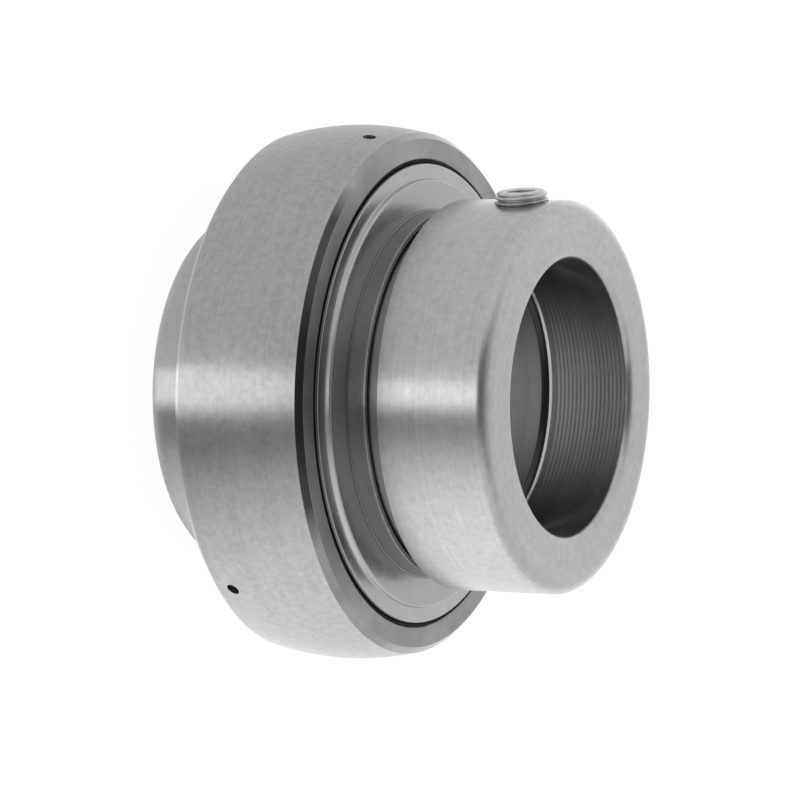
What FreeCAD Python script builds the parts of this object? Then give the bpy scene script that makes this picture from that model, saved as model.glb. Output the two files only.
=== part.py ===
import FreeCAD, Part
import math
import os

# Insert ball bearing with an eccentric locking collar, in millimetres.
# The origin is the centre of the spherical outer ring, and +Z runs along the bore to the collar.
# The walls and gaps below add up to the real bearing: 80 across, outer ring 21 wide, inner ring 42.8.

# Rings, with each wall measured from the bottom of the ball groove
bore_d = 40.0
inner_ring_wall = 4.5
outer_ring_wall = 3.5
outer_ring_chamfer = 0.95
inner_ring_edge_chamfer = 0.5
inner_ring_bore_chamfer = 1.0

# Balls and their grooves
ball_d = 12.0
ball_count = 9
race_clearance = 0.02
groove_radius_to_ball = 1.04
inner_shoulder_height = 1.65
outer_shoulder_height = 2.6

# Grease holes through the outer ring
grease_hole_d = 2.0
grease_hole_offset = 6.5
grease_hole_first_angle = 187.5
grease_hole_spacing_angle = 120.0

# Moulded snap cage
cage_wall = 4.2
cage_pocket_clearance = 0.2
cage_back = 1.0
cage_rim_height = 3.8
cage_cup_wall = 1.3
cage_horn_reach = 3.2
cage_seal_gap = 0.7

# Seal recess in the outer ring
seal_recess_depth = 2.6
seal_seat_step = 0.95
seal_groove_depth = 0.6
seal_groove_width = 1.4
seal_mouth_chamfer = 0.15

# Pressed outer washer of each seal
sheet = 0.6
washer_gap = 0.5
washer_proud = 0.3
washer_turned_edge = 1.1
washer_edge_bend = 0.3
washer_edge_crease = 0.08
washer_rim_width = 2.15
washer_step_height = 0.8
washer_step_run = 0.35
washer_web_rise = 0.25
washer_nose_height = 2.7
washer_nose_draft = 0.05
washer_nose_gap = 0.45
washer_nose_bend = 0.2
washer_bend = 0.5
washer_collar_gap = 2.9

# Flat inner washer and rubber of each seal
inner_washer_rim_cover = 0.5
inner_washer_bore_gap = 1.75
rubber_foot = 0.3
rubber_below_face = 0.2
rubber_washer_gap = 0.05
lip_clearance = 0.06
lip_root = 0.75
lip_tip = 0.22
lip_nose_gap = 0.12
lip_height = 0.6

# Cam on the inner ring and the collar that locks on it
cam_step = 1.55
cam_offset = 0.8
cam_offset_angle = 90.0
cam_play = 0.35
cam_shoulder_gap = 0.5
cam_chamfer = 0.4
collar_wall = 4.05
collar_width = 17.65
collar_recess_depth = 4.15
collar_floor_gap = 0.2
collar_lip_play = 0.15
collar_lip_height = 0.45
collar_bore_play = 0.4
collar_front_ease_depth = 2.8
collar_front_ease_height = 1.7
collar_front_tight_angle = 50.0
collar_bore_round = 1.15
collar_back_round = 0.2

# Drift hole in the collar, where a punch turns it tight
drift_hole_d = 7.0
drift_hole_depth = 4.5
drift_hole_angle = 45.0

# Set screw, standing clear of the shaft bore and proud of the collar
screw_d = 8.0
screw_play = 0.05
screw_clear_of_bore = 0.6
screw_proud = 1.6
screw_chamfer = 0.6
screw_cup_depth = 1.2
screw_point_chamfer = 1.0
hex_across_flats = 4.0
hex_depth = 4.0
screw_angle = 180.0

# Radii that follow, from the shaft out
bore_r = bore_d / 2
ball_r = ball_d / 2
groove_r = ball_r * groove_radius_to_ball
pitch_r = bore_r + inner_ring_wall + ball_r
outer_r = pitch_r + ball_r + outer_ring_wall
inner_race_r = pitch_r - ball_r - race_clearance
outer_race_r = pitch_r + ball_r + race_clearance
land_r = bore_r + inner_ring_wall + inner_shoulder_height
outer_land_r = outer_race_r - outer_shoulder_height
recess_r = outer_land_r + seal_seat_step
cam_r = land_r - cam_step
collar_recess_r = cam_r + cam_play
collar_r = collar_recess_r + collar_wall

# Heights that follow, from the balls to the collar's face
cage_top_z = ball_r + cage_pocket_clearance + cage_back
recess_floor_z = cage_top_z + cage_seal_gap
ring_face_z = recess_floor_z + seal_recess_depth
washer_rim_z = ring_face_z + washer_proud
washer_foot_z = washer_rim_z - washer_turned_edge
washer_web_z = washer_rim_z + washer_step_height
washer_bend_z = washer_web_z + washer_web_rise
washer_nose_z = washer_bend_z + washer_nose_height
collar_back_z = washer_nose_z + washer_collar_gap
collar_floor_z = collar_back_z + collar_recess_depth
collar_front_z = collar_back_z + collar_width
inner_face_z = collar_floor_z - collar_floor_gap
cam_shoulder_z = collar_back_z - cam_shoulder_gap
screw_z = (collar_floor_z + collar_front_z) / 2


def at(r, z):
    return FreeCAD.Vector(r, 0, z)


def around(radius, angle, z=0.0):
    turn = math.radians(angle)
    return FreeCAD.Vector(radius * math.cos(turn), radius * math.sin(turn), z)


def unit(vector):
    return vector * (1.0 / vector.Length)


def rounded(before, corner, after, radius):
    """Steps of an outline that turn the corner on an arc of this radius."""
    back = unit(before - corner)
    ahead = unit(after - corner)
    half = back.getAngle(ahead) / 2
    reach = radius / math.tan(half)
    centre = corner + unit(back + ahead) * (radius / math.sin(half))
    middle = centre + unit(corner - centre) * radius
    return [corner + back * reach, (middle, corner + ahead * reach)]


def eased(start, depth, height, tight_angle):
    """Steps that turn a wall that runs up from the start into a face, on a tight arc and then a wide one."""
    c = math.cos(math.radians(tight_angle))
    s = math.sin(math.radians(tight_angle))
    wide = (height * (1 - c) - depth * s) / ((1 - s) * (1 - c) - c * s)
    tight = (depth - wide * c) / (1 - c)
    end = start + at(-depth, height)
    tight_centre = start - at(tight, 0)
    wide_centre = end - at(0, wide)

    def on_arc(centre, radius, angle):
        turn = math.radians(angle)
        return centre + at(radius * math.cos(turn), radius * math.sin(turn))

    return [start,
            (on_arc(tight_centre, tight, tight_angle / 2), on_arc(tight_centre, tight, tight_angle)),
            (on_arc(wide_centre, wide, (tight_angle + 90) / 2), end)]


def path_edges(steps):
    """Edges through the steps. A step is a point, or a pair of an arc's middle and its end."""
    edges = []
    last = steps[0]
    for step in steps[1:]:
        if isinstance(step, tuple):
            edges.append(Part.Arc(last, step[0], step[1]).toShape())
            last = step[1]
        else:
            edges.append(Part.makeLine(last, step))
            last = step
    return edges


def turned(steps):
    """Solid of revolution about Z of the closed outline through the steps."""
    wire = Part.Wire(path_edges(steps + [steps[0]]))
    return Part.Face(wire).revolve(FreeCAD.Vector(0, 0, 0), FreeCAD.Vector(0, 0, 1), 360)


def half_chord(radius, distance):
    return math.sqrt(radius ** 2 - distance ** 2)


def outer_ring():
    """Spherical outside, ball groove and a stepped seal recess at each side, with two grease holes."""
    chamfer_z = ring_face_z - outer_ring_chamfer
    chamfer_r = half_chord(outer_r, chamfer_z)
    race_z = half_chord(groove_r, outer_land_r - (outer_race_r - groove_r))
    groove_top_z = recess_floor_z + seal_groove_width
    deep_r = recess_r + seal_groove_depth
    half = [
        (outer_land_r, race_z),
        (outer_land_r, recess_floor_z),
        (deep_r, recess_floor_z),
        (deep_r, groove_top_z),
        (recess_r, groove_top_z),
        (recess_r, ring_face_z - seal_mouth_chamfer),
        (recess_r + seal_mouth_chamfer, ring_face_z),
        (chamfer_r - outer_ring_chamfer, ring_face_z),
        (chamfer_r, chamfer_z),
    ]
    front = [at(r, z) for r, z in half]
    back = [at(r, -z) for r, z in reversed(half)]
    steps = front + [(at(outer_r, 0), back[0])] + back[1:]
    wire = Part.Wire(path_edges(steps + [(at(outer_race_r, 0), front[0])]))
    ring = Part.Face(wire).revolve(FreeCAD.Vector(0, 0, 0), FreeCAD.Vector(0, 0, 1), 360)
    for index, z in enumerate((grease_hole_offset, -grease_hole_offset)):
        angle = grease_hole_first_angle + index * grease_hole_spacing_angle
        start = around(outer_land_r - seal_seat_step, angle, z)
        ring = ring.cut(Part.makeCylinder(grease_hole_d / 2, outer_r, start, around(1, angle)))
    return ring


def bore_tool():
    """What the shaft bore takes out of the inner ring, with a chamfer at each end."""
    beyond = 1.0
    mouth_z = inner_face_z - inner_ring_bore_chamfer
    mouth_r = bore_r + inner_ring_bore_chamfer + beyond
    end_z = inner_face_z + beyond
    return turned([at(0, -end_z), at(mouth_r, -end_z), at(bore_r, -mouth_z),
                   at(bore_r, mouth_z), at(mouth_r, end_z), at(0, end_z)])


def inner_ring():
    """Ground ring with its ball groove, and the eccentric cam that the collar locks on."""
    race_z = half_chord(groove_r, inner_race_r + groove_r - land_r)
    edge_z = -inner_face_z + inner_ring_edge_chamfer
    blank = turned([at(0, -inner_face_z), at(land_r - inner_ring_edge_chamfer, -inner_face_z),
                    at(land_r, edge_z), at(land_r, -race_z),
                    (at(inner_race_r, 0), at(land_r, race_z)),
                    at(land_r, cam_shoulder_z), at(0, cam_shoulder_z)])
    cam_top = inner_face_z - cam_chamfer
    cam = turned([at(0, 0), at(bore_r, 0), at(cam_r, cam_shoulder_z - cam_chamfer), at(cam_r, cam_top),
                  at(cam_r - cam_chamfer, inner_face_z), at(0, inner_face_z)])
    cam.translate(around(cam_offset, cam_offset_angle))
    return blank.fuse(cam).cut(bore_tool()).removeSplitter()


def collar_bore_tool():
    """What the shaft needs out of the collar: a narrow lip at the floor, a rounded mouth in front."""
    lip_r = bore_r + collar_lip_play
    wall_r = bore_r + collar_bore_play
    beyond = 1.0
    mouth = rounded(at(wall_r, collar_floor_z), at(wall_r, collar_front_z),
                    at(collar_r, collar_front_z), collar_bore_round)
    mouth_r = wall_r + collar_bore_round
    return turned([at(0, collar_floor_z - beyond), at(lip_r, collar_floor_z - beyond),
                   at(lip_r, collar_floor_z), at(wall_r, collar_floor_z + collar_lip_height)]
                  + mouth + [at(mouth_r, collar_front_z + beyond), at(0, collar_front_z + beyond)])


def locking_collar():
    """Turned collar: eased front edge, eccentric recess at the back, tapped hole and drift hole."""
    wall_top = at(collar_r, collar_front_z - collar_front_ease_height)
    steps = [at(0, collar_back_z)]
    steps += rounded(at(0, collar_back_z), at(collar_r, collar_back_z), wall_top, collar_back_round)
    steps += eased(wall_top, collar_front_ease_depth, collar_front_ease_height, collar_front_tight_angle)
    steps += [at(0, collar_front_z)]
    collar = turned(steps).cut(collar_bore_tool())
    recess_centre = around(cam_offset, cam_offset_angle, collar_back_z)
    collar = collar.cut(Part.makeCylinder(collar_recess_r, collar_recess_depth, recess_centre))
    tapped = Part.makeCylinder(screw_d / 2, collar_r, around(bore_r / 2, screw_angle, screw_z),
                               around(1, screw_angle))
    drift_floor = around(collar_r - drift_hole_depth, drift_hole_angle, screw_z)
    drift = Part.makeCylinder(drift_hole_d / 2, 2 * drift_hole_depth, drift_floor,
                              around(1, drift_hole_angle))
    return collar.cut(tapped).cut(drift).removeSplitter()


def set_screw():
    """Screw along its own Z from the cup point up, then laid along its tapped hole."""
    body_r = screw_d / 2 - screw_play
    point_r = body_r - screw_point_chamfer
    screw_length = collar_r + screw_proud - bore_r - screw_clear_of_bore
    screw = turned([at(0, screw_cup_depth), at(point_r, 0), at(body_r, screw_point_chamfer),
                    at(body_r, screw_length - screw_chamfer),
                    at(body_r - screw_chamfer, screw_length), at(0, screw_length)])
    corner_r = hex_across_flats / 2 / math.cos(math.radians(30))
    socket_z = screw_length - hex_depth
    corners = [around(corner_r, 60 * k, socket_z) for k in range(7)]
    socket = Part.Face(Part.makePolygon(corners)).extrude(FreeCAD.Vector(0, 0, 2 * hex_depth))
    screw = screw.cut(socket)
    screw.rotate(FreeCAD.Vector(0, 0, 0), FreeCAD.Vector(0, 1, 0), 90)
    screw.rotate(FreeCAD.Vector(0, 0, 0), FreeCAD.Vector(0, 0, 1), screw_angle)
    screw.translate(around(bore_r + screw_clear_of_bore, screw_angle, screw_z))
    return screw


def ball_angle(index):
    return 360.0 / ball_count * index


def ball(index):
    return Part.makeSphere(ball_r, around(pitch_r, ball_angle(index)))


def cage():
    """Rim behind the balls with a cup round each one, open at the front so that the balls snap in."""
    pocket_r = ball_r + cage_pocket_clearance
    cup_r = pocket_r + cage_cup_wall
    inner_r = pitch_r - cage_wall / 2
    outer_wall_r = pitch_r + cage_wall / 2
    rim_z = cage_top_z - cage_rim_height
    body = turned([at(inner_r, rim_z), at(outer_wall_r, rim_z),
                   at(outer_wall_r, cage_top_z), at(inner_r, cage_top_z)])
    band = turned([at(inner_r, -cage_horn_reach), at(outer_wall_r, -cage_horn_reach),
                   at(outer_wall_r, cage_top_z), at(inner_r, cage_top_z)])
    for index in range(ball_count):
        centre = around(pitch_r, ball_angle(index))
        body = body.fuse(band.common(Part.makeSphere(cup_r, centre)))
    for index in range(ball_count):
        body = body.cut(Part.makeSphere(pocket_r, around(pitch_r, ball_angle(index))))
    return body.removeSplitter()


def washer_corners(inset):
    """Corners of the outer washer's sheet, this far in from the surface that shows."""
    rim_r = recess_r - washer_gap
    step_r = rim_r - washer_rim_width
    nose_r = land_r + washer_nose_gap + sheet
    shown = [at(rim_r, washer_foot_z), at(rim_r, washer_rim_z), at(step_r, washer_rim_z),
             at(step_r - washer_step_run, washer_web_z),
             at(nose_r + washer_nose_draft, washer_bend_z), at(nose_r, washer_nose_z)]
    return shown if inset == 0 else inset_corners(shown, inset)


def inset_corners(corners, inset):
    """The same open line of corners, moved sideways by the inset, to the left of its direction."""
    lines = []
    for first, second in zip(corners, corners[1:]):
        along = unit(second - first)
        side = FreeCAD.Vector(-along.z, 0, along.x) * inset
        lines.append((first + side, along))
    moved = [lines[0][0]]
    for (p, u), (q, v) in zip(lines, lines[1:]):
        cross = u.x * v.z - u.z * v.x
        gap = q - p
        moved.append(p + u * ((gap.x * v.z - gap.z * v.x) / cross))
    last_side = lines[-1][0] - corners[-2]
    return moved + [corners[-1] + last_side]


def sheet_side(corners, radii):
    """Steps along one side of a bent sheet, with each inner corner on its own arc."""
    steps = [corners[0]]
    for before, corner, after, radius in zip(corners, corners[1:], corners[2:], radii):
        steps += rounded(before, corner, after, radius)
    return steps + [corners[-1]]


def reversed_steps(steps):
    """The same line of steps, walked from its other end."""
    turned_round = []
    ends = [step[1] if isinstance(step, tuple) else step for step in steps]
    for index in range(len(steps) - 1, 0, -1):
        if index == len(steps) - 1:
            turned_round.append(ends[index])
        step = steps[index]
        turned_round.append((step[0], ends[index - 1]) if isinstance(step, tuple) else ends[index - 1])
    return turned_round


def outer_washer():
    """Pressed sheet: turned-down edge, flat rim, small step, web and a nose that stands out."""
    outside = sheet_side(washer_corners(0), [washer_edge_bend, washer_bend, washer_bend + sheet / 2,
                                             washer_nose_bend])
    inside = sheet_side(washer_corners(sheet), [washer_edge_crease, washer_bend + sheet,
                                                washer_bend - sheet / 2, washer_nose_bend + sheet])
    return turned(outside + reversed_steps(inside))


def inner_washer():
    """Flat sheet ring on the shoulder of the recess."""
    low_z = recess_floor_z
    bore_wall = land_r + inner_washer_bore_gap
    rim = outer_land_r + inner_washer_rim_cover
    top_z = recess_floor_z + sheet
    return turned([at(bore_wall, low_z), at(rim, low_z), at(rim, top_z), at(bore_wall, top_z)])


def bead_top():
    """Steps of the rubber that shows in the gap between the ring and the washer's turned edge."""
    shown_z = ring_face_z - rubber_below_face
    side_r = recess_r - washer_gap + rubber_washer_gap
    return [at(recess_r, shown_z), at(side_r, shown_z), at(side_r, washer_foot_z)]


def rubber_seal():
    """Bead that fills the groove to just under the ring's face, web over the inner washer, and a lip
    that runs out along the inner ring."""
    bead_r = recess_r + seal_groove_depth
    bead_top_z = recess_floor_z + seal_groove_width
    rim = outer_land_r + inner_washer_rim_cover
    web_low_z = recess_floor_z + sheet
    foot_r = recess_r - washer_gap - washer_rim_width
    web_top_z = washer_foot_z - rubber_foot
    tip_z = washer_bend_z + lip_height
    run_r = land_r + lip_clearance
    back_r = land_r + washer_nose_gap - lip_nose_gap
    root_r = land_r + inner_washer_bore_gap
    return turned(
        [at(rim, recess_floor_z), at(bead_r, recess_floor_z), at(bead_r, bead_top_z),
         at(recess_r, bead_top_z)]
        + bead_top()
        + [at(foot_r, washer_foot_z), at(foot_r, web_top_z), at(root_r + lip_root, web_top_z),
           at(back_r, washer_bend_z), at(run_r + lip_tip, tip_z), at(run_r, tip_z),
           at(run_r, washer_bend_z), at(root_r, web_low_z), at(rim, web_low_z)])


def to_back(shape):
    return shape.mirror(FreeCAD.Vector(0, 0, 0), FreeCAD.Vector(0, 0, 1))


def export(name, shape):
    solids = shape.Solids
    whole = solids[0] if len(solids) == 1 else Part.makeCompound(solids)
    whole.exportStep("parts/" + name + ".step")


os.makedirs("parts", exist_ok=True)
export("outer_ring", outer_ring())
export("inner_ring", inner_ring())
export("locking_collar", locking_collar())
export("set_screw", set_screw())
export("cage", cage())
for number in range(ball_count):
    export("ball_" + str(number + 1), ball(number))
for kind, shape in (("outer_washer", outer_washer()), ("seal", rubber_seal()),
                    ("inner_washer", inner_washer())):
    export("front_" + kind, shape)
    export("back_" + kind, to_back(shape))
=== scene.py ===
import math

import bmesh
import bpy
from mathutils import Matrix, Vector


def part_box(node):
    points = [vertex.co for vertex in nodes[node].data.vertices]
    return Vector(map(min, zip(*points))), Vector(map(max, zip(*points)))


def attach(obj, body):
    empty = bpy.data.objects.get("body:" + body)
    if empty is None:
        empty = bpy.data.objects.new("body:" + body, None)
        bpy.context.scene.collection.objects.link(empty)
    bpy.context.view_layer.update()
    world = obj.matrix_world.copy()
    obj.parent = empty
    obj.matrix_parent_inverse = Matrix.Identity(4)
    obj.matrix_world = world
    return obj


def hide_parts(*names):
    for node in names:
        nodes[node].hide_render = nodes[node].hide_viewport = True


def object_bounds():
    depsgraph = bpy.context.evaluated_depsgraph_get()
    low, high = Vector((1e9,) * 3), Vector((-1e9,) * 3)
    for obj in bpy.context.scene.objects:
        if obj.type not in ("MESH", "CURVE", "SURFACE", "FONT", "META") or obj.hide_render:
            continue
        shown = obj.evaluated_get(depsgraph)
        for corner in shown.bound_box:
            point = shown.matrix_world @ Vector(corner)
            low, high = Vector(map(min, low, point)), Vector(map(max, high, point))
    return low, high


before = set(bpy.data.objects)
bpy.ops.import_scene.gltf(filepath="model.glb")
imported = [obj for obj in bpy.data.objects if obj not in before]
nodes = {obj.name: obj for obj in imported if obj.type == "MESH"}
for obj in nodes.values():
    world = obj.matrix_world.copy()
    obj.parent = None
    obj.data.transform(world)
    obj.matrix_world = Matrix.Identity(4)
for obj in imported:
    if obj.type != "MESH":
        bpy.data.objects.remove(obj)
cad_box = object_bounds()


# The outer ring is bearing steel, ground to a sphere outside so that it can tilt in its housing.
# Its side faces and corner chamfers keep the dark skin of the heat treatment, and two small holes
# let grease in to the balls.

def node(tree, kind, inputs=None, **settings):
    """A shader node of this kind, with its settings and inputs filled in."""
    made = tree.nodes.new("ShaderNode" + kind)
    for name, value in settings.items():
        setattr(made, name, value)
    for name, value in (inputs or {}).items():
        if isinstance(value, bpy.types.NodeSocket):
            tree.links.new(value, made.inputs[name])
        else:
            made.inputs[name].default_value = value
    return made


def math_step(tree, operation, first, second=0.0, clamp=False):
    return node(tree, "Math", {0: first, 1: second}, operation=operation, use_clamp=clamp).outputs[0]


def weighted_sum(tree, *parts):
    """The sum of some values, each times its weight."""
    total = None
    for value, weight in parts:
        share = math_step(tree, "MULTIPLY", value, weight)
        total = share if total is None else math_step(tree, "ADD", total, share)
    return total


def spread(tree, value, low, high, to_low=0.0, to_high=1.0, smooth=False):
    """The value, moved from the range low to high into the range to_low to to_high."""
    kind = "SMOOTHSTEP" if smooth else "LINEAR"
    return node(tree, "MapRange", {"Value": value, "From Min": low, "From Max": high, "To Min": to_low,
                                   "To Max": to_high}, interpolation_type=kind).outputs[0]


def blend_colour(tree, share, first, second):
    mix = node(tree, "Mix", data_type="RGBA")
    for socket, value in ((mix.inputs[0], share), (mix.inputs[6], first), (mix.inputs[7], second)):
        if isinstance(value, bpy.types.NodeSocket):
            tree.links.new(value, socket)
        else:
            socket.default_value = value
    return mix.outputs[2]


def effect_group(name, inputs, outputs):
    """An empty node group with named number inputs and outputs, and its two end nodes."""
    tree = bpy.data.node_groups.new(name, "ShaderNodeTree")
    for title, value in inputs.items():
        socket = tree.interface.new_socket(title, in_out="INPUT", socket_type="NodeSocketFloat")
        socket.default_value = value
    for title in outputs:
        tree.interface.new_socket(title, in_out="OUTPUT", socket_type="NodeSocketFloat")
    return tree, tree.nodes.new("NodeGroupInput"), tree.nodes.new("NodeGroupOutput")


def turning_marks_group():
    """Fine lines round the axis on every turned or ground face, with broader faint bands among them."""
    tree, given, result = effect_group(
        "turning marks", {"Lines per metre": 4000.0, "Breaks per metre": 20.0}, ["Lines", "Bands"])
    place = node(tree, "TexCoord").outputs["Object"]
    part = node(tree, "SeparateXYZ", {0: place}).outputs
    flat = node(tree, "CombineXYZ", {0: part[0], 1: part[1], 2: 0.0}).outputs[0]
    radius = node(tree, "VectorMath", {0: flat}, operation="LENGTH").outputs["Value"]
    across = math_step(tree, "MULTIPLY", radius, given.outputs["Lines per metre"])
    up = math_step(tree, "MULTIPLY", part[2], given.outputs["Lines per metre"])
    along = math_step(tree, "MULTIPLY", part[0], given.outputs["Breaks per metre"])
    round_it = math_step(tree, "MULTIPLY", part[1], given.outputs["Breaks per metre"])
    where = node(tree, "CombineXYZ", {0: across, 1: up, 2: along}).outputs[0]
    for title, scale, detail in (("Lines", 1.0, 4.0), ("Bands", 0.12, 2.0)):
        noise = node(tree, "TexNoise", {"Vector": where, "W": round_it, "Scale": scale, "Detail": detail,
                                        "Roughness": 0.6}, noise_dimensions="4D")
        tree.links.new(noise.outputs["Fac"], result.inputs[title])
    return tree


def edge_wear_group():
    """Where an edge is rubbed bright: its corners, broken up by a fine mottle."""
    tree, given, result = effect_group("edge wear", {"Patches per metre": 700.0}, ["Wear"])
    eased = node(tree, "Bevel", {"Radius": 0.00035}, samples=6).outputs[0]
    true = node(tree, "NewGeometry").outputs["Normal"]
    facing = node(tree, "VectorMath", {0: eased, 1: true}, operation="DOT_PRODUCT").outputs["Value"]
    corner = spread(tree, facing, 0.995, 0.90)
    place = node(tree, "TexCoord").outputs["Object"]
    patches = given.outputs["Patches per metre"]
    mottle = node(tree, "TexNoise", {"Vector": place, "Scale": patches, "Detail": 3.0})
    patchy = spread(tree, mottle.outputs["Fac"], 0.35, 0.6)
    tree.links.new(math_step(tree, "MULTIPLY", corner, patchy, clamp=True), result.inputs["Wear"])
    return tree


turning_marks = turning_marks_group()
edge_wear = edge_wear_group()


def new_material(name):
    made = bpy.data.materials.new(name)
    made.use_nodes = True
    made.node_tree.nodes.clear()
    return made, made.node_tree


def finish_material(tree, inputs):
    """Ends a material in a Principled shader with these inputs."""
    shader = node(tree, "BsdfPrincipled", inputs)
    node(tree, "OutputMaterial", {"Surface": shader.outputs[0]})


def shader_of(made):
    return next(part for part in made.node_tree.nodes if part.type == "BSDF_PRINCIPLED")


def turned_steel(name, dark, light, worn, roughness, lines_per_metre=4000.0, anisotropic=0.7):
    """Bare steel with marks round the axis. Its gloss is drawn out across the marks."""
    made, tree = new_material(name)
    marks = node(tree, "Group", {"Lines per metre": lines_per_metre}, node_tree=turning_marks).outputs
    wear = node(tree, "Group", node_tree=edge_wear).outputs["Wear"]
    place = node(tree, "TexCoord").outputs["Object"]
    mottle = node(tree, "TexNoise", {"Vector": place, "Scale": 900.0, "Detail": 5.0, "Roughness": 0.7})
    tone = weighted_sum(tree, (marks["Lines"], 0.30), (marks["Bands"], 0.15), (mottle.outputs["Fac"], 0.55))
    colour = blend_colour(tree, spread(tree, tone, 0.38, 0.62), dark, light)
    colour = blend_colour(tree, math_step(tree, "MULTIPLY", wear, 0.7), colour, worn)
    rough = spread(tree, marks["Bands"], 0.3, 0.7, roughness * 0.9, roughness * 1.1)
    relief = node(tree, "Bump", {"Strength": 0.12, "Distance": 0.00003, "Height": marks["Lines"]})
    tangent = node(tree, "Tangent", direction_type="RADIAL", axis="Z")
    finish_material(tree, {"Base Color": colour, "Metallic": 1.0, "Roughness": rough,
                           "Anisotropic": anisotropic, "Anisotropic Rotation": 0.25,
                           "Normal": relief.outputs[0], "Tangent": tangent.outputs[0]})
    return made


def share_on_side(tree, place, side, low, high):
    """From 0 to 1 as the way out from the axis turns to this side, its cosine going from low to high."""
    outward = node(tree, "VectorMath", {0: place, 1: (1, 1, 0)}, operation="MULTIPLY").outputs[0]
    outward = node(tree, "VectorMath", {0: outward}, operation="NORMALIZE").outputs[0]
    cosine = node(tree, "VectorMath", {0: outward, 1: side}, operation="DOT_PRODUCT").outputs["Value"]
    return spread(tree, cosine, low, high)


def outer_ring_steel(name, face_height, chamfer, painted_shade_side):
    """Ground steel on the sphere, and the dark heat-treatment skin on side faces and chamfers. On one
    side of the front chamfer the skin carries painted shade, almost black; it is thin on the back of the
    ring."""
    made = turned_steel(name, dark=(0.330, 0.327, 0.318, 1), light=(0.440, 0.436, 0.425, 1),
                        worn=(0.50, 0.495, 0.48, 1), roughness=0.30)
    tree = made.node_tree
    shader = shader_of(made)
    ground = shader.inputs["Base Color"].links[0].from_socket
    fine = shader.inputs["Roughness"].links[0].from_socket
    place = node(tree, "TexCoord").outputs["Object"]
    height = node(tree, "SeparateXYZ", {0: place}).outputs[2]
    from_middle = math_step(tree, "ABSOLUTE", height)
    skin = spread(tree, from_middle, face_height - chamfer, face_height - chamfer + 0.00008)
    face_low, face_high = face_height - 0.00006, face_height - 0.00002
    cloud = node(tree, "TexNoise", {"Vector": place, "Scale": 160.0, "Detail": 5.0}).outputs["Fac"]
    dark = blend_colour(tree, spread(tree, cloud, 0.35, 0.65), (0.275, 0.271, 0.263, 1),
                        (0.355, 0.351, 0.341, 1))
    # Painted shade: on one side of the axis the chamfer is painted almost black.
    chamfer_painted_shade = math_step(tree, "MULTIPLY", share_on_side(tree, place, painted_shade_side, 0.72, 0.84),
                       spread(tree, from_middle, face_low, face_high, 1, 0))
    dark = blend_colour(tree, chamfer_painted_shade, dark, (0.070, 0.068, 0.064, 1))
    back = spread(tree, height, -0.001, 0.0, 1, 0)
    dark = blend_colour(tree, back, dark, (0.41, 0.406, 0.397, 1))
    tree.links.new(blend_colour(tree, skin, ground, dark), shader.inputs["Base Color"])
    extra = spread(tree, from_middle, face_low, face_high, -0.08, 0.12)
    rough = math_step(tree, "ADD", fine, math_step(tree, "MULTIPLY", skin, extra))
    tree.links.new(rough, shader.inputs["Roughness"])
    return made


def wear_finish(piece, material):
    """Gives the piece this material alone."""
    piece.data.materials.clear()
    piece.data.materials.append(material)


ring_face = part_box("outer_ring")[1].z
ring_chamfer = 0.0010
# The side on which the ring's chamfer gets painted shade, the side the camera stands on.
painted_shade_side = (-0.309, -0.951, 0)
wear_finish(nodes["outer_ring"],
            outer_ring_steel("outer ring steel", ring_face, ring_chamfer, painted_shade_side))


# Nine chrome steel balls run between the rings. They are lapped and polished until they mirror
# what is round them.

def polished_steel(name):
    made, tree = new_material(name)
    place = node(tree, "TexCoord").outputs["Object"]
    haze = node(tree, "TexNoise", {"Vector": place, "Scale": 500.0, "Detail": 4.0}).outputs["Fac"]
    scratch = node(tree, "TexNoise", {"Vector": place, "Scale": 5200.0, "Detail": 2.0}).outputs["Fac"]
    colour = blend_colour(tree, haze, (0.60, 0.60, 0.61, 1), (0.70, 0.70, 0.70, 1))
    relief = node(tree, "Bump", {"Strength": 0.04, "Distance": 0.000005, "Height": scratch})
    finish_material(tree, {"Base Color": colour, "Metallic": 1.0, "Normal": relief.outputs[0],
                           "Roughness": spread(tree, haze, 0.3, 0.7, 0.04, 0.10)})
    return made


ball_steel = polished_steel("ball steel")
for name in nodes:
    if name.startswith("ball_"):
        wear_finish(nodes[name], ball_steel)


# The cage keeps the balls apart. It is moulded in glass-filled nylon: warm white, slightly cloudy,
# with a fine dull grain.

def moulded_nylon(name):
    made, tree = new_material(name)
    place = node(tree, "TexCoord").outputs["Object"]
    cloud = node(tree, "TexNoise", {"Vector": place, "Scale": 120.0, "Detail": 4.0}).outputs["Fac"]
    grain = node(tree, "TexNoise", {"Vector": place, "Scale": 3500.0, "Detail": 2.0}).outputs["Fac"]
    colour = blend_colour(tree, cloud, (0.55, 0.50, 0.40, 1), (0.68, 0.63, 0.52, 1))
    relief = node(tree, "Bump", {"Strength": 0.3, "Distance": 0.00002, "Height": grain})
    finish_material(tree, {"Base Color": colour, "Normal": relief.outputs[0],
                           "Roughness": spread(tree, grain, 0.3, 0.7, 0.42, 0.58)})
    return made


wear_finish(nodes["cage"], moulded_nylon("cage nylon"))


# Each seal is black nitrile rubber, moulded to a flat steel washer inside and held by a pressed one
# outside. Its bead sits in the ring's groove and its lip runs out along the inner ring.

sheet = 0.0006
edge_radius = 0.03430
edge_sheet = 0.00053
edge_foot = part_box("front_outer_washer")[0].z
rim_height = 0.0108
rim_inner_radius = 0.03202
step_sheet = 0.00049
web_radius = 0.03177
web_height = 0.0116
web_back_radius = 0.03133
web_back_height = 0.01098
nose_foot_radius = 0.02725
nose_foot_height = 0.01185
nose_foot_sheet = 0.00061
nose_end_radius = 0.02720
nose_end_height = 0.01478


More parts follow.
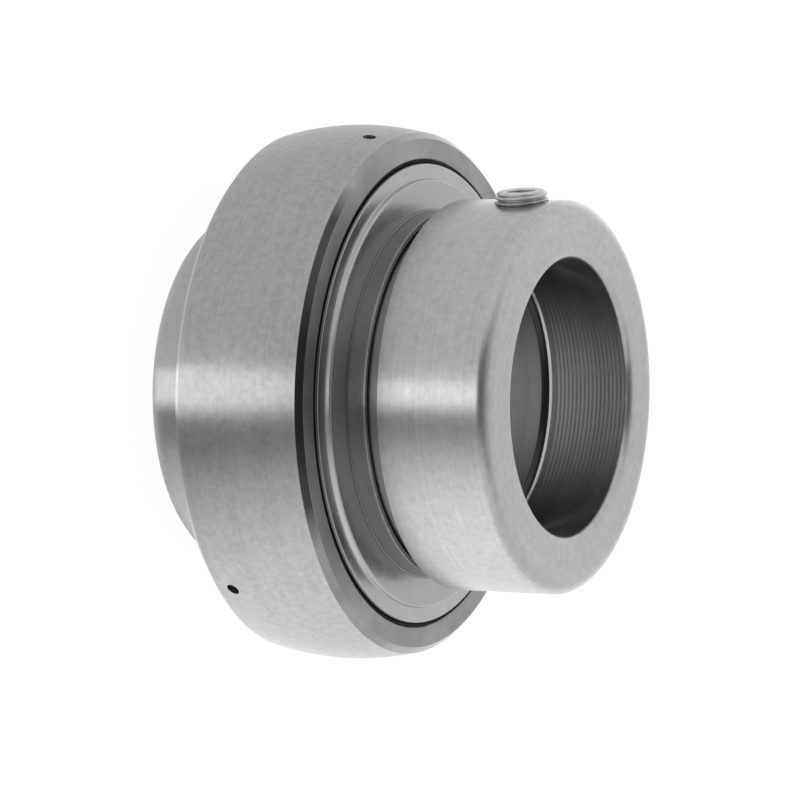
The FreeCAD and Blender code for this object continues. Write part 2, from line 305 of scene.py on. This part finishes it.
def moulded_rubber(name):
    made, tree = new_material(name)
    place = node(tree, "TexCoord").outputs["Object"]
    dust = node(tree, "TexNoise", {"Vector": place, "Scale": 260.0, "Detail": 6.0}).outputs["Fac"]
    grain = node(tree, "TexNoise", {"Vector": place, "Scale": 4200.0, "Detail": 3.0}).outputs["Fac"]
    colour = blend_colour(tree, spread(tree, dust, 0.5, 0.75), (0.006, 0.006, 0.006, 1),
                          (0.014, 0.014, 0.013, 1))
    relief = node(tree, "Bump", {"Strength": 0.4, "Distance": 0.00002, "Height": grain})
    finish_material(tree, {"Base Color": colour, "Normal": relief.outputs[0], "Specular IOR Level": 0.2,
                           "Roughness": spread(tree, dust, 0.3, 0.7, 0.6, 0.8)})
    return made


def zinc_sheet(name):
    """Pressed steel sheet under bright zinc: cool grey, faintly mottled, with soft gloss."""
    made, tree = new_material(name)
    place = node(tree, "TexCoord").outputs["Object"]
    spangle = node(tree, "TexVoronoi", {"Vector": place, "Scale": 420.0}).outputs["Color"]
    mottle = node(tree, "SeparateColor", {0: spangle}).outputs[0]
    cloud = node(tree, "TexNoise", {"Vector": place, "Scale": 90.0, "Detail": 5.0}).outputs["Fac"]
    marks = node(tree, "Group", {"Lines per metre": 2600.0}, node_tree=turning_marks).outputs
    wear = node(tree, "Group", node_tree=edge_wear).outputs["Wear"]
    tone = weighted_sum(tree, (mottle, 0.2), (cloud, 0.8))
    colour = blend_colour(tree, spread(tree, tone, 0.3, 0.7), (0.395, 0.405, 0.400, 1),
                          (0.475, 0.486, 0.480, 1))
    colour = blend_colour(tree, math_step(tree, "MULTIPLY", wear, 0.2), colour, (0.56, 0.57, 0.56, 1))
    relief = node(tree, "Bump", {"Strength": 0.08, "Distance": 0.00003, "Height": marks["Lines"]})
    finish_material(tree, {"Base Color": colour, "Metallic": 1.0, "Normal": relief.outputs[0],
                           "Roughness": spread(tree, tone, 0.3, 0.7, 0.24, 0.32)})
    return made


def paint_zone(made, radius, heights, colour, share, side=None, **finish):
    """Blends a colour and a finish into a metal within a radius, between two heights and, where a
    side is given, on that side of the axis. A zone fades out over its soft edge."""
    soft_edge = 0.00004
    tree = made.node_tree
    shader = shader_of(made)
    before = shader.inputs["Base Color"].links[0].from_socket
    place = node(tree, "TexCoord").outputs["Object"]
    outward = node(tree, "VectorMath", {0: place, 1: (1, 1, 0)}, operation="MULTIPLY").outputs[0]
    from_axis = node(tree, "VectorMath", {0: outward}, operation="LENGTH").outputs["Value"]
    height = node(tree, "SeparateXYZ", {0: place}).outputs[2]
    low, high = heights
    zone = spread(tree, from_axis, radius, radius + soft_edge, share, 0)
    zone = math_step(tree, "MULTIPLY", zone, spread(tree, height, low - soft_edge, low))
    zone = math_step(tree, "MULTIPLY", zone, spread(tree, height, high, high + soft_edge, 1, 0))
    if side:
        zone = math_step(tree, "MULTIPLY", zone, share_on_side(tree, place, side, 0.70, 0.93))
    tree.links.new(blend_colour(tree, zone, before, colour), shader.inputs["Base Color"])
    for title, value in finish.items():
        socket = shader.inputs[title]
        was = socket.links[0].from_socket if socket.links else socket.default_value
        rest = math_step(tree, "SUBTRACT", 1.0, zone)
        tree.links.new(weighted_sum(tree, (rest, was), (zone, value)), socket)


seal_rubber = moulded_rubber("seal rubber")
washer_zinc = zinc_sheet("washer zinc")
whole_radius = 0.05
# In turn: painted shade on the nose, the bend at its foot and the turned-down edge; then the web.
paint_zone(washer_zinc, nose_foot_radius + 0.00027,
           (nose_foot_height - 0.0001, nose_end_height - 0.00034), (0.187, 0.192, 0.189, 1), 0.78)
paint_zone(washer_zinc, nose_foot_radius + 0.00031,
           (nose_foot_height - 0.00005, nose_foot_height + 0.00021), (0.06, 0.062, 0.061, 1), 0.80)
paint_zone(washer_zinc, whole_radius, (edge_foot - 0.0007, rim_height - 0.0001),
           (0.09, 0.093, 0.091, 1), 0.9)
paint_zone(washer_zinc, web_radius - 0.00007, (web_height - 0.0003, nose_foot_height + 0.00007),
           (0.38, 0.39, 0.385, 1), 0.5, Metallic=0.7)
for side in ("front_", "back_"):
    wear_finish(nodes[side + "seal"], seal_rubber)
    wear_finish(nodes[side + "inner_washer"], washer_zinc)


def bent_line(corners, radii, steps):
    """Points along a line of corners, with each inner corner bent to its radius."""
    points = [corners[0]]
    for before, corner, after, radius in zip(corners, corners[1:], corners[2:], radii):
        here = Vector(corner)
        back = (Vector(before) - here).normalized()
        ahead = (Vector(after) - here).normalized()
        half = back.angle(ahead) / 2
        centre = here + (back + ahead).normalized() * radius / math.sin(half)
        reach = radius / math.tan(half)
        for k in range(steps + 1):
            chord = (here + back * reach).lerp(here + ahead * reach, k / steps)
            points.append(tuple(centre + (chord - centre).normalized() * radius))
    return points + [corners[-1]]


def piece_of(name, shape):
    """The finished bmesh as an object in the scene."""
    mesh = bpy.data.meshes.new(name)
    shape.to_mesh(mesh)
    shape.free()
    made = bpy.data.objects.new(name, mesh)
    bpy.context.scene.collection.objects.link(made)
    return made


def turned_mesh(name, section, around):
    """A closed section turned about Z in this many steps."""
    shape = bmesh.new()
    rings = []
    for k in range(around):
        c = math.cos(2 * math.pi * k / around)
        s = math.sin(2 * math.pi * k / around)
        rings.append([shape.verts.new((r * c, r * s, z)) for r, z in section])
    for k in range(around):
        here, there = rings[k], rings[(k + 1) % around]
        for j in range(len(section)):
            i = (j + 1) % len(section)
            shape.faces.new((here[j], there[j], there[i], here[i]))
    bmesh.ops.recalc_face_normals(shape, faces=shape.faces)
    return piece_of(name, shape)


def shade_smooth(piece, sharp_degrees):
    """Smooth shading, with a sharp edge wherever two faces meet at more than this angle."""
    piece.data.shade_smooth()
    piece.data.set_sharp_from_angle(angle=math.radians(sharp_degrees))


steps_round_washer = 480
washer_shown = bent_line([(edge_radius, edge_foot), (edge_radius, rim_height),
                          (rim_inner_radius, rim_height), (web_radius, web_height),
                          (nose_foot_radius, nose_foot_height), (nose_end_radius, nose_end_height)],
                         radii=(0.0004, 0.0002, 0.0004, 0.0002), steps=10)
washer_hidden = bent_line([(nose_end_radius - sheet, nose_end_height),
                           (nose_foot_radius - nose_foot_sheet, nose_foot_height - nose_foot_sheet),
                           (web_back_radius, web_back_height),
                           (rim_inner_radius - step_sheet, rim_height - sheet),
                           (edge_radius - edge_sheet, rim_height - sheet),
                           (edge_radius - edge_sheet, edge_foot)],
                          radii=(0.0008, 0.0002, 0.0003, 0.0001), steps=4)
for side, way in (("front", 1), ("back", -1)):
    section = [(r, way * z) for r, z in washer_shown + washer_hidden]
    washer = turned_mesh(side + "_pressed_washer", section, steps_round_washer)
    shade_smooth(washer, 35)
    wear_finish(washer, washer_zinc)
    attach(washer, "outer")
    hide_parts(side + "_outer_washer")


# The inner ring is bearing steel too, ground on its bore, its outside and its two ends. The bore,
# the stretch of its outside between washer and collar, and its end under the collar carry painted shade.

inner_ring_steel = turned_steel("inner ring steel", dark=(0.372, 0.368, 0.359, 1),
                                light=(0.447, 0.442, 0.431, 1), worn=(0.54, 0.535, 0.52, 1),
                                roughness=0.34, lines_per_metre=5000.0, anisotropic=0.55)
bore_radius = 0.0203
cam_end_radius = 0.0210
cam_end_low, cam_end_high = 0.0203, 0.0220
shaded_low, shaded_high = 0.0138, 0.0182
shaded_radius = 0.0300
whole_height = 0.1
# Painted shade: outside between washer and collar, in the bore, and on the end under the collar.
paint_zone(inner_ring_steel, shaded_radius, (shaded_low, shaded_high), (0.22, 0.215, 0.205, 1), 0.75)
paint_zone(inner_ring_steel, bore_radius, (-whole_height, whole_height), (0.245, 0.242, 0.235, 1), 0.85)
paint_zone(inner_ring_steel, cam_end_radius, (cam_end_low, cam_end_high), (0.05, 0.048, 0.045, 1), 0.95)
wear_finish(nodes["inner_ring"], inner_ring_steel)


# The locking collar is turned from soft steel bar. The boring tool leaves fine grooves in its bore,
# and a recess off centre at its back fits over the cam of the inner ring.

collar_low, collar_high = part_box("locking_collar")
collar_back = collar_low.z
collar_front = collar_high.z
collar_radius = 0.029
collar_back_round = 0.0002
collar_bore = 0.02040
collar_bore_round = 0.00115
front_ease_depth = 0.0028
front_ease_height = 0.0019
recess_depth = 0.00415
recess_radius = 0.02495
recess_offset = 0.0008
recess_overrun = 0.001
recess_left_to_cut = 0.003
collar_floor = collar_back + recess_depth
collar_lip = 0.02006
lip_height = 0.00026
lip_step = 0.00034
groove_pitch = 0.000665
groove_depth = 0.00002
groove_first = collar_floor + 0.0006
groove_last = collar_front - 0.0013
screw_height = (collar_floor + collar_front) / 2
screw_hole_radius = 0.0040
screw_hole_start = 0.0180
screw_hole_length = 0.015
drift_hole_radius = 0.0035
drift_hole_depth = 0.0045
drift_hole_length = 0.010
drift_hole_angle = math.radians(45)
steps_round_collar = 480
steps_round_recess = 360
steps_round_hole = 96


def arc(centre_r, centre_z, across, up, start, end, count):
    """Points of an oval arc in the section, from one angle in degrees to another."""
    turns = [math.radians(start + (end - start) * k / count) for k in range(count + 1)]
    return [(centre_r + across * math.cos(turn), centre_z + up * math.sin(turn)) for turn in turns]


def bore_grooves():
    """Section of the bore from front to back: each groove goes in, runs flat and comes out again."""
    count = round((groove_last - groove_first) / groove_pitch)
    points = []
    for k in range(count):
        top = groove_last - k * groove_pitch
        for pitches, depth in ((0.0, 0.0), (0.35, groove_depth), (0.60, groove_depth), (0.85, 0.0)):
            points.append((collar_bore + depth, top - pitches * groove_pitch))
    return points


def collar_section():
    """The collar's wall, from the outside at the back over the front to the bore and its lip. It
    leaves some steel where the recess is cut."""
    section = arc(collar_radius - collar_back_round, collar_back + collar_back_round,
                  collar_back_round, collar_back_round, -90, 0, 4)
    section += arc(collar_radius - front_ease_depth, collar_front - front_ease_height,
                   front_ease_depth, front_ease_height, 0, 90, 16)
    section += arc(collar_bore + collar_bore_round, collar_front - collar_bore_round,
                   collar_bore_round, collar_bore_round, 90, 180, 10)
    section += bore_grooves()
    inner_side = recess_radius - recess_left_to_cut
    section += [(collar_lip + lip_step, collar_floor + lip_height), (collar_lip, collar_floor),
                (inner_side, collar_floor), (inner_side, collar_back)]
    return section


def plain_cutter(radius, length, start, direction, around):
    """A plain round cutter that runs from its start along a direction."""
    shape = bmesh.new()
    bmesh.ops.create_cone(shape, cap_ends=True, segments=around, radius1=radius, radius2=radius,
                          depth=length, matrix=Matrix.Translation((0, 0, length / 2)))
    made = piece_of("cutter", shape)
    turn = Vector((0, 0, 1)).rotation_difference(Vector(direction)).to_matrix().to_4x4()
    made.matrix_world = Matrix.Translation(start) @ turn
    return made


def cut_away(piece, cutters):
    """Cuts the tools out of the piece for good, and removes them."""
    for cutter in cutters:
        step = piece.modifiers.new("cut", "BOOLEAN")
        step.operation = "DIFFERENCE"
        step.solver = "EXACT"
        step.object = cutter
    bpy.context.view_layer.update()
    result = bpy.data.meshes.new_from_object(
        piece.evaluated_get(bpy.context.evaluated_depsgraph_get()))
    piece.modifiers.clear()
    piece.data = result
    for cutter in cutters:
        bpy.data.objects.remove(cutter)


collar = turned_mesh("collar", collar_section(), steps_round_collar)
drift_way = Vector((math.cos(drift_hole_angle), math.sin(drift_hole_angle), 0))
drift_start = drift_way * (collar_radius - drift_hole_depth) + Vector((0, 0, screw_height))
cut_away(collar, [
    plain_cutter(recess_radius, recess_depth + recess_overrun,
                 (0, recess_offset, collar_back - recess_overrun), (0, 0, 1), steps_round_recess),
    plain_cutter(screw_hole_radius, screw_hole_length, (-screw_hole_start, 0, screw_height),
                 (-1, 0, 0), steps_round_hole),
    plain_cutter(drift_hole_radius, drift_hole_length, drift_start, drift_way, steps_round_hole),
])
shade_smooth(collar, 24)
collar_steel = turned_steel("collar steel", dark=(0.420, 0.419, 0.410, 1),
                            light=(0.532, 0.531, 0.522, 1), worn=(0.60, 0.598, 0.59, 1),
                            roughness=0.30, lines_per_metre=3200.0)
# The side of the bore's lip that carries the painted highlight.
painted_highlight_side = (0.191, 0.982, 0)
# In turn: painted shade in the bore, and a painted highlight on the lip at its inner end, on one side.
paint_zone(collar_steel, collar_bore + 0.0002, (collar_floor, collar_front - 0.0010),
           (0.285, 0.283, 0.277, 1), 0.85)
paint_zone(collar_steel, collar_bore - 0.00001, (collar_floor - 0.0001, collar_floor + 0.0003),
           (0.95, 0.945, 0.93, 1), 1.0, side=painted_highlight_side, Metallic=0.0, Roughness=0.5)
wear_finish(collar, collar_steel)
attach(collar, "collar")
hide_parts("locking_collar")


# The set screw is a zinc plated hexagon socket screw with a cup point. It is cut with a fine thread,
# and stands a turn or two out of the collar.

screw_low, screw_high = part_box("set_screw")
screw_tip = screw_high.x
screw_length = screw_high.x - screw_low.x
thread_pitch = 0.00075
thread_radius = 0.00390
thread_depth = 0.00046
thread_root = 0.12
thread_flank = 0.70
screw_end_chamfer = 0.0006
screw_end_flat = 0.0003
screw_point_chamfer = 0.0010
cup_depth = 0.0012
cup_rim_height = 0.00008
cup_rim_share = 0.95
drill_tip_radius = 0.0003
hex_across_flats = 0.0040
hex_corner_radius = hex_across_flats / 2 / math.cos(math.radians(30))
hex_depth = 0.0040
hex_ease = 1.06
hex_ease_depth = 0.0002
hex_drill_point = 0.0008
steps_round = 72
steps_per_turn = 10


def thread_height(turns):
    """Height of the thread's flank at this many turns along, from 0 in the root to 1 on the crest."""
    rise = 1 - abs(turns % 1.0 - 0.5) * 2
    return min(1.0, max(0.0, (rise - thread_root) / thread_flank))


def hexagon_reach(corner_radius, angle):
    """How far a hexagon's side lies from its centre at this angle."""
    from_middle = (angle % (math.pi / 3)) - math.pi / 6
    return corner_radius * math.cos(math.pi / 6) / math.cos(from_middle)


def set_screw_mesh(name):
    """The screw along its own Z, cup point down: cup, threaded shank, chamfered end, socket."""
    shape = bmesh.new()
    rings = []

    def ring(radius_at, height):
        points = []
        for k in range(steps_round):
            angle = 2 * math.pi * k / steps_round
            radius = radius_at(angle)
            points.append(shape.verts.new((radius * math.cos(angle), radius * math.sin(angle), height)))
        rings.append(points)

    def shank(height):
        def radius_at(angle):
            turns = height / thread_pitch - angle / (2 * math.pi)
            radius = thread_radius - thread_depth * (1 - thread_height(turns))
            point = thread_radius - screw_point_chamfer + height
            end = thread_radius - screw_end_chamfer + (screw_length - height)
            return min(radius, point, end)
        return radius_at

    cup_rim = (thread_radius - screw_point_chamfer) * cup_rim_share
    ring(lambda angle: drill_tip_radius, cup_depth)
    ring(lambda angle: cup_rim, cup_rim_height)
    rows = round(screw_length / thread_pitch * steps_per_turn)
    for k in range(rows + 1):
        ring(shank(screw_length * k / rows), screw_length * k / rows)
    ring(lambda angle: thread_radius - screw_end_chamfer - screw_end_flat, screw_length)
    ring(lambda angle: hexagon_reach(hex_corner_radius * hex_ease, angle), screw_length)
    for depth in (hex_ease_depth, hex_depth):
        ring(lambda angle: hexagon_reach(hex_corner_radius, angle), screw_length - depth)
    ring(lambda angle: drill_tip_radius, screw_length - hex_depth - hex_drill_point)
    for low, high in zip(rings, rings[1:]):
        for k in range(steps_round):
            j = (k + 1) % steps_round
            shape.faces.new((low[k], low[j], high[j], high[k]))
    shape.faces.new(rings[0])
    shape.faces.new(rings[-1])
    bmesh.ops.recalc_face_normals(shape, faces=shape.faces)
    return piece_of(name, shape)


def zinc_plate(name):
    """Zinc plate on a small turned screw: paler and duller than the washers, bright on its crests."""
    made, tree = new_material(name)
    place = node(tree, "TexCoord").outputs["Object"]
    cloud = node(tree, "TexNoise", {"Vector": place, "Scale": 900.0, "Detail": 5.0}).outputs["Fac"]
    wear = node(tree, "Group", node_tree=edge_wear).outputs["Wear"]
    colour = blend_colour(tree, spread(tree, cloud, 0.3, 0.7), (0.50, 0.51, 0.50, 1), (0.64, 0.65, 0.63, 1))
    colour = blend_colour(tree, math_step(tree, "MULTIPLY", wear, 0.6), colour, (0.78, 0.78, 0.76, 1))
    relief = node(tree, "Bump", {"Strength": 0.15, "Distance": 0.00002, "Height": cloud})
    finish_material(tree, {"Base Color": colour, "Metallic": 1.0, "Normal": relief.outputs[0],
                           "Roughness": spread(tree, cloud, 0.3, 0.7, 0.38, 0.50)})
    return made


screw = set_screw_mesh("set_screw_threaded")
screw.matrix_world = (Matrix.Translation((screw_tip, 0, (screw_low.z + screw_high.z) / 2))
                      @ Matrix.Rotation(math.radians(-90), 4, "Y"))
shade_smooth(screw, 25)
wear_finish(screw, zinc_plate("screw zinc"))
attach(screw, "screw")
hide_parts("set_screw")


# The bearing stands on its plain end on a white table. The table runs out into the white of the
# room, and keeps the soft shadow of the bearing.

table_half = 2.5
table_height = cad_box[0].z


def seen_directly(tree):
    """1 for what the camera, gloss or glass looks at, and 0 for what only lights the bearing."""
    path = node(tree, "LightPath").outputs
    seen = math_step(tree, "ADD", path["Is Camera Ray"], path["Is Glossy Ray"], clamp=True)
    return math_step(tree, "ADD", seen, path["Is Transmission Ray"], clamp=True)


def white_table(name):
    """Matt white board, which glows a little where it is seen so that it ends up white."""
    made, tree = new_material(name)
    place = node(tree, "TexCoord").outputs["Object"]
    cloud = node(tree, "TexNoise", {"Vector": place, "Scale": 3.0, "Detail": 2.0}).outputs["Fac"]
    colour = blend_colour(tree, cloud, (0.84, 0.84, 0.84, 1), (0.86, 0.86, 0.86, 1))
    plain = node(tree, "BsdfDiffuse", {"Color": colour}).outputs[0]
    glow = node(tree, "Emission", {"Color": (1, 1, 1, 1), "Strength": 1.10}).outputs[0]
    share = math_step(tree, "MULTIPLY", seen_directly(tree), 0.85)
    mix = node(tree, "MixShader", {0: share, 1: plain, 2: glow}).outputs[0]
    node(tree, "OutputMaterial", {"Surface": mix})
    return made


def plain_piece(name, points, faces):
    mesh = bpy.data.meshes.new(name)
    mesh.from_pydata(points, [], faces)
    made = bpy.data.objects.new(name, mesh)
    bpy.context.scene.collection.objects.link(made)
    return made


table = plain_piece("table", [(-table_half, -table_half, table_height),
                              (table_half, -table_half, table_height),
                              (table_half, table_half, table_height),
                              (-table_half, table_half, table_height)], [(0, 1, 2, 3)])
wear_finish(table, white_table("white table"))


# The room is white and evenly lit. On the camera's side it is dark from the floor to past the
# middle of the ceiling, and only bare metal shows that.

room_front = (-0.1908, -0.9816, 0)
room_right = (0.9816, -0.1908, 0)
room_light = 0.5
room_dark = 0.17
room_white = 0.92


def white_room(name):
    made = bpy.data.worlds.new(name)
    made.use_nodes = True
    tree = made.node_tree
    tree.nodes.clear()
    place = node(tree, "TexCoord").outputs["Generated"]
    front = node(tree, "VectorMath", {0: place, 1: room_front}, operation="DOT_PRODUCT").outputs["Value"]
    right = node(tree, "VectorMath", {0: place, 1: room_right}, operation="DOT_PRODUCT").outputs["Value"]
    over = spread(tree, front, 0.60, -0.60, room_dark, room_white, smooth=True)
    beside = spread(tree, math_step(tree, "ABSOLUTE", right), 0.22, 0.64, room_dark, room_white,
                    smooth=True)
    shine = math_step(tree, "MAXIMUM", over, beside)
    shown = math_step(tree, "MAXIMUM", node(tree, "LightPath").outputs["Is Camera Ray"], shine)
    seen = seen_directly(tree)
    unseen = math_step(tree, "SUBTRACT", 1.0, seen)
    level = weighted_sum(tree, (unseen, room_light), (seen, shown))
    light = node(tree, "Background", {"Color": (1, 1, 1, 1), "Strength": level}).outputs[0]
    node(tree, "OutputWorld", {"Surface": light})
    return made


bpy.context.scene.world = white_room("white room")


# A low paper cone stands round the table outside the picture, and a bright paper disc lies under
# the bore. Only the metal shows them: a bright strip and a dark one beside the camera, paler paper
# on the lower side, and light in the middle of the bore.

paper_lift = 0.0001
cone_inner = 0.0275
cone_foot = 0.060
cone_outer = 0.450
cone_rise = 0.115
cone_steps = 180
cone_front = 259.2
cone_levels = [(-180, 1.40), (-145, 1.28), (-127, 0.84), (-20, 0.84), (-7, 0.95), (-4.5, 1.80),
               (4.5, 1.80), (10, 0.41), (18, 0.40), (38, 0.98), (60, 1.36), (85, 1.42), (110, 1.34),
               (150, 1.20), (180, 1.40)]
cone_brightest = 2.0
disc_radius = 0.0185
disc_steps = 60
disc_level = 3.0


def shaded_paper(name):
    """Paper that glows at the level given for each angle from the cone's front, in degrees."""
    made, tree = new_material(name)
    place = node(tree, "TexCoord").outputs["Object"]
    turn = Matrix.Rotation(math.radians(-cone_front), 3, "Z")
    part = node(tree, "SeparateXYZ", {0: place}).outputs
    ahead = weighted_sum(tree, (part[0], turn[0][0]), (part[1], turn[0][1]))
    aside = weighted_sum(tree, (part[0], turn[1][0]), (part[1], turn[1][1]))
    angle = math_step(tree, "MULTIPLY", math_step(tree, "ARCTAN2", aside, ahead), 180 / math.pi)
    ramp = node(tree, "ValToRGB", {0: spread(tree, angle, -180.0, 180.0)})
    stops = ramp.color_ramp.elements
    while len(stops) < len(cone_levels):
        stops.new(0.5)
    for stop, (degrees, level) in zip(stops, cone_levels):
        grey = level / cone_brightest
        stop.position = (degrees + 180) / 360
        stop.color = (grey, grey, grey, 1)
    glow = node(tree, "Emission", {"Color": ramp.outputs[0], "Strength": cone_brightest}).outputs[0]
    node(tree, "OutputMaterial", {"Surface": glow})
    return made


def bright_paper(name):
    made, tree = new_material(name)
    glow = node(tree, "Emission", {"Color": (1, 1, 1, 1), "Strength": disc_level}).outputs[0]
    node(tree, "OutputMaterial", {"Surface": glow})
    return made


def circle(radius, height, steps):
    """Points of a circle round the axis, this high over the table."""
    turns = [2 * math.pi * k / steps for k in range(steps)]
    return [(radius * math.cos(turn), radius * math.sin(turn), table_height + height) for turn in turns]


cone_points = (circle(cone_inner, paper_lift, cone_steps) + circle(cone_foot, paper_lift, cone_steps)
               + circle(cone_outer, cone_rise, cone_steps))
cone_faces = []
for first in (0, cone_steps):
    for k in range(cone_steps):
        here, there = first + k, first + (k + 1) % cone_steps
        cone_faces.append((here, here + cone_steps, there + cone_steps, there))
cone = plain_piece("paper_cone", cone_points, cone_faces)
wear_finish(cone, shaded_paper("glowing paper"))
disc = plain_piece("paper_disc", circle(disc_radius, paper_lift, disc_steps), [tuple(range(disc_steps))])
wear_finish(disc, bright_paper("bright paper"))
for paper in (cone, disc):
    paper.visible_camera = False
    paper.visible_diffuse = False
    paper.visible_shadow = False


# Two soft boxes stand over the table, one on each side of the bearing. They light it from above,
# and bare metal doesn't show them.

def soft_box(name, azimuth, elevation, distance, width, height, watts):
    """A soft box at this azimuth and elevation, in degrees, that faces the bearing."""
    lamp = bpy.data.lights.new(name, "AREA")
    lamp.shape = "RECTANGLE"
    lamp.size = width
    lamp.size_y = height
    lamp.energy = watts
    made = bpy.data.objects.new(name, lamp)
    a, e = math.radians(azimuth), math.radians(elevation)
    toward = Vector((math.cos(a) * math.cos(e), math.sin(a) * math.cos(e), math.sin(e)))
    made.location = toward * distance
    made.rotation_mode = "QUATERNION"
    made.rotation_quaternion = toward.to_track_quat("Z", "Y")
    made.visible_glossy = False
    bpy.context.scene.collection.objects.link(made)


for name, azimuth, watts in (("lower box", 330, 4.5), ("upper box", 185, 3.5)):
    soft_box(name, azimuth, elevation=40, distance=1.1, width=0.9, height=0.8, watts=watts)


# The camera looks along the photograph's line of sight, on its side, so that the bearing's axis
# runs across the picture with the set screw at the top.

camera_place = Vector((-0.12315, -0.65291, 0.34831))
camera_back = Vector((-0.16627, -0.87353, 0.45749)).normalized()
camera_roll = math.radians(1.68)
across_picture = (Vector((0, 0, 1)) - camera_back * camera_back.z).normalized()
across_picture.rotate(Matrix.Rotation(camera_roll, 3, camera_back))
up_picture = camera_back.cross(across_picture)
lens = bpy.data.cameras.new("camera")
lens.sensor_width = 36.0
lens.lens = 225.0
lens.clip_start = 0.05
lens.clip_end = 20.0
camera = bpy.data.objects.new("camera", lens)
camera.matrix_world = (Matrix.Translation(camera_place)
                       @ Matrix((across_picture, up_picture, camera_back)).transposed().to_4x4())
bpy.context.scene.collection.objects.link(camera)
bpy.context.scene.camera = camera
bpy.context.scene.view_settings.view_transform = "Standard"
